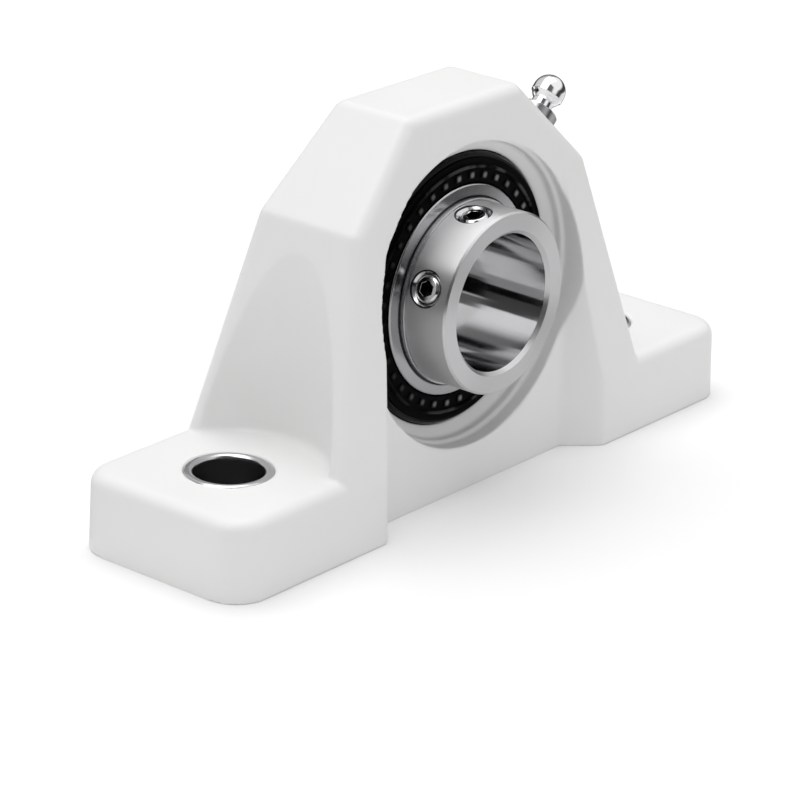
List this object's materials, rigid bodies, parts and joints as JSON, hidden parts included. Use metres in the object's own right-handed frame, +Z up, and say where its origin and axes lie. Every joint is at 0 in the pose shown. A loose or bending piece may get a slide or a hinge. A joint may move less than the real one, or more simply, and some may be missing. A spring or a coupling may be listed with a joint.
{
  "type": "pillow block bearing unit",
  "caption": "Two-bolt white plastic pillow block with a self-aligning stainless ball bearing insert, set-screw collar and grease fitting.",
  "frame": {"origin": "on the base plane, under the middle of the bearing", "axes": "+X along the bolt line, +Y along the shaft away from the set-screw collar, +Z up"},
  "size_m": [0.165, 0.046, 0.0845],
  "materials": {
    "white_plastic": "smooth moulded",
    "stainless": "turned",
    "ground_steel": "ground and satin",
    "polished_steel": "polished",
    "black_rubber": "moulded",
    "nylon": "moulded"
  },
  "bodies": {
    "housing": {"housing": "white_plastic", "bolt_sleeve_left": "stainless", "bolt_sleeve_right": "stainless", "fitting_bushing": "stainless", "grease_fitting": "polished_steel", "check_spring": "stainless"},
    "check_ball": {"check_ball": "polished_steel"},
    "locking_pin": {"locking_pin": "polished_steel"},
    "outer_ring": {"outer_ring": "stainless", "seal_front": "black_rubber", "seal_back": "black_rubber"},
    "inner_ring": {"inner_ring": "ground_steel", "flinger_front": "stainless", "flinger_back": "stainless"},
    "cage": {"cage_front": "nylon", "cage_back": "nylon", "cage_rivets": "stainless"},
    "ball_1": {"ball_1": "polished_steel"},
    "ball_2": {"ball_2": "polished_steel"},
    "ball_3": {"ball_3": "polished_steel"},
    "ball_4": {"ball_4": "polished_steel"},
    "ball_5": {"ball_5": "polished_steel"},
    "ball_6": {"ball_6": "polished_steel"},
    "ball_7": {"ball_7": "polished_steel"},
    "ball_8": {"ball_8": "polished_steel"},
    "ball_9": {"ball_9": "polished_steel"},
    "set_screw_upper": {"set_screw_upper": "polished_steel"},
    "set_screw_side": {"set_screw_side": "polished_steel"}
  },
  "joints": [
    {"name": "insert_tilt", "type": "hinge", "parent": "housing", "child": "locking_pin", "pos_m": [0, 0, 0.0429], "axis": [1, 0, 0], "range_deg": [-2, 2]},
    {"name": "insert_swivel", "type": "hinge", "parent": "locking_pin", "child": "outer_ring", "pos_m": [0, 0, 0.0429], "axis": [0, 0, 1], "range_deg": [-2, 2]},
    {"name": "shaft_spin", "type": "hinge", "parent": "outer_ring", "child": "inner_ring", "pos_m": [0, 0, 0.0429], "axis": [0, 1, 0], "continuous": true},
    {"name": "cage_spin", "type": "hinge", "parent": "outer_ring", "child": "cage", "pos_m": [0, 0, 0.0429], "axis": [0, 1, 0], "continuous": true},
    {"name": "ball_1_roll", "type": "hinge", "parent": "cage", "child": "ball_1", "pos_m": [0.023, 0, 0.0429], "axis": [0, 1, 0], "continuous": true},
    {"name": "ball_2_roll", "type": "hinge", "parent": "cage", "child": "ball_2", "pos_m": [0.01762, 0, 0.05768], "axis": [0, 1, 0], "continuous": true},
    {"name": "ball_3_roll", "type": "hinge", "parent": "cage", "child": "ball_3", "pos_m": [0.00399, 0, 0.06555], "axis": [0, 1, 0], "continuous": true},
    {"name": "ball_4_roll", "type": "hinge", "parent": "cage", "child": "ball_4", "pos_m": [-0.0115, 0, 0.06282], "axis": [0, 1, 0], "continuous": true},
    {"name": "ball_5_roll", "type": "hinge", "parent": "cage", "child": "ball_5", "pos_m": [-0.02161, 0, 0.05077], "axis": [0, 1, 0], "continuous": true},
    {"name": "ball_6_roll", "type": "hinge", "parent": "cage", "child": "ball_6", "pos_m": [-0.02161, 0, 0.03503], "axis": [0, 1, 0], "continuous": true},
    {"name": "ball_7_roll", "type": "hinge", "parent": "cage", "child": "ball_7", "pos_m": [-0.0115, 0, 0.02298], "axis": [0, 1, 0], "continuous": true},
    {"name": "ball_8_roll", "type": "hinge", "parent": "cage", "child": "ball_8", "pos_m": [0.00399, 0, 0.02025], "axis": [0, 1, 0], "continuous": true},
    {"name": "ball_9_roll", "type": "hinge", "parent": "cage", "child": "ball_9", "pos_m": [0.01762, 0, 0.02812], "axis": [0, 1, 0], "continuous": true},
    {"name": "set_screw_upper_travel", "type": "slide", "parent": "inner_ring", "child": "set_screw_upper", "axis": [0.1822, 0, -0.9833], "range_m": [-0.0015, 0.0005]},
    {"name": "set_screw_side_travel", "type": "slide", "parent": "inner_ring", "child": "set_screw_side", "axis": [0.9426, 0, -0.3338], "range_m": [-0.0015, 0.0005]},
    {"name": "check_ball_travel", "type": "slide", "parent": "housing", "child": "check_ball", "axis": [-0.7071, 0, -0.7071], "range_m": [0, 0.0008], "stiffness_N_per_m": 150, "springref_m": -0.001, "deforming": ["check_spring"]}
  ],
  "couplings": [
    {"joint": "cage_spin", "follows": "shaft_spin", "ratio": 0.39647},
    {"joint": "ball_1_roll", "follows": "shaft_spin", "ratio": -2.3112},
    {"joint": "ball_2_roll", "follows": "shaft_spin", "ratio": -2.3112},
    {"joint": "ball_3_roll", "follows": "shaft_spin", "ratio": -2.3112},
    {"joint": "ball_4_roll", "follows": "shaft_spin", "ratio": -2.3112},
    {"joint": "ball_5_roll", "follows": "shaft_spin", "ratio": -2.3112},
    {"joint": "ball_6_roll", "follows": "shaft_spin", "ratio": -2.3112},
    {"joint": "ball_7_roll", "follows": "shaft_spin", "ratio": -2.3112},
    {"joint": "ball_8_roll", "follows": "shaft_spin", "ratio": -2.3112},
    {"joint": "ball_9_roll", "follows": "shaft_spin", "ratio": -2.3112}
  ]
}
